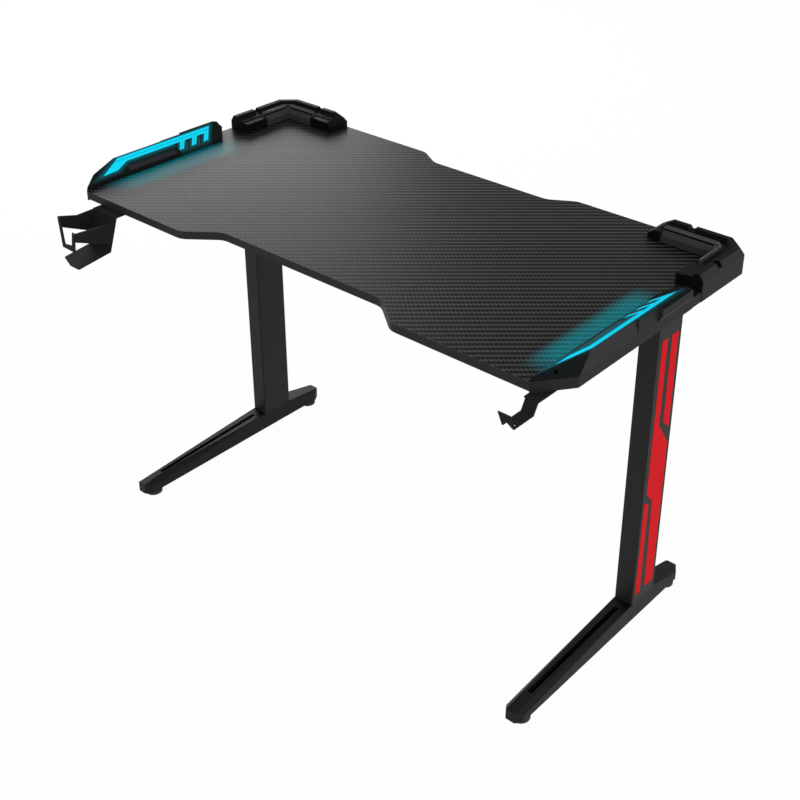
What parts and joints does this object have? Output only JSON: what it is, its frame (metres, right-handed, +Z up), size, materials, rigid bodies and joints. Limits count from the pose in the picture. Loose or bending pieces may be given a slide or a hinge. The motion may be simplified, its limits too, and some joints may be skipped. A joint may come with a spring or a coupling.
{
  "type": "gaming desk",
  "caption": "Black gaming desk with T legs, carbon-look top, lit side bars, corner guards, red stripes, cup holder and headphone hook",
  "frame": {"origin": "on the floor under the middle of the whole desk, cup holder included", "axes": "+X right along the length, -Y towards the user, +Z up"},
  "size_m": [1.2, 0.7199, 0.78],
  "materials": {
    "chipboard": "raw pressed board, hidden",
    "carbon_sheet": "carbon-fibre-look twill film with a soft sheen",
    "edging": "plain dark edging",
    "black_moulding": "satin black moulded plastic",
    "light_guide": "translucent, lit cyan from behind",
    "circuit_board": "white circuit strip, hidden",
    "button_plastic": "black button",
    "pad_plastic": "black nylon",
    "zinc_steel": "zinc plated",
    "accessory_black": "black painted sheet steel",
    "red_vinyl": "red vinyl stripe",
    "powder_coat": "fine black powder coat"
  },
  "bodies": {
    "desk": {"beam_bolts": "zinc_steel", "bracket_screws": "zinc_steel", "carbon_laminate": "carbon_sheet", "column_bolts": "zinc_steel", "column_plate_left": "powder_coat", "column_plate_right": "powder_coat", "corner_guard_left": "black_moulding", "corner_guard_right": "black_moulding", "corner_trim_left": "black_moulding", "corner_trim_right": "black_moulding", "cross_beam": "powder_coat", "cup_holder": "accessory_black", "cup_holder_screws": "zinc_steel", "desktop_core": "chipboard", "foot_beam_left": "powder_coat", "foot_beam_right": "powder_coat", "front_edge_band": "edging", "headphone_hook": "accessory_black", "hook_screws": "zinc_steel", "leg_column_left": "powder_coat", "leg_column_right": "powder_coat", "leg_stripes_left": "red_vinyl", "leg_stripes_right": "red_vinyl", "leveller_nuts": "zinc_steel", "light_bar_housing_left": "black_moulding", "light_bar_housing_right": "black_moulding", "light_guide_left": "light_guide", "light_guide_right": "light_guide", "light_strip_left": "circuit_board", "light_strip_right": "circuit_board", "light_switch_left": "circuit_board", "light_switch_right": "circuit_board", "moulding_screws": "zinc_steel", "rear_edge_band": "edging", "top_bracket_left": "powder_coat", "top_bracket_right": "powder_coat"},
    "leveller_front_left": {"leveller_pad_front_left": "pad_plastic", "leveller_stud_front_left": "zinc_steel"},
    "leveller_rear_left": {"leveller_pad_rear_left": "pad_plastic", "leveller_stud_rear_left": "zinc_steel"},
    "button_left": {"light_button_left": "button_plastic"},
    "leveller_front_right": {"leveller_pad_front_right": "pad_plastic", "leveller_stud_front_right": "zinc_steel"},
    "leveller_rear_right": {"leveller_pad_rear_right": "pad_plastic", "leveller_stud_rear_right": "zinc_steel"},
    "button_right": {"light_button_right": "button_plastic"}
  },
  "joints": [
    {"name": "leveller_front_left_height", "type": "slide", "parent": "desk", "child": "leveller_front_left", "axis": [0, 0, -1], "range_m": [0, 0.01]},
    {"name": "leveller_rear_left_height", "type": "slide", "parent": "desk", "child": "leveller_rear_left", "axis": [0, 0, -1], "range_m": [0, 0.01]},
    {"name": "button_left_press", "type": "slide", "parent": "desk", "child": "button_left", "axis": [0.791, 0.5864, -0.1743], "range_m": [0, 0.001], "stiffness_N_per_m": 600, "springref_m": -0.0005},
    {"name": "leveller_front_right_height", "type": "slide", "parent": "desk", "child": "leveller_front_right", "axis": [0, 0, -1], "range_m": [0, 0.01]},
    {"name": "leveller_rear_right_height", "type": "slide", "parent": "desk", "child": "leveller_rear_right", "axis": [0, 0, -1], "range_m": [0, 0.01]},
    {"name": "button_right_press", "type": "slide", "parent": "desk", "child": "button_right", "axis": [-0.791, 0.5864, -0.1743], "range_m": [0, 0.001], "stiffness_N_per_m": 600, "springref_m": -0.0005}
  ]
}
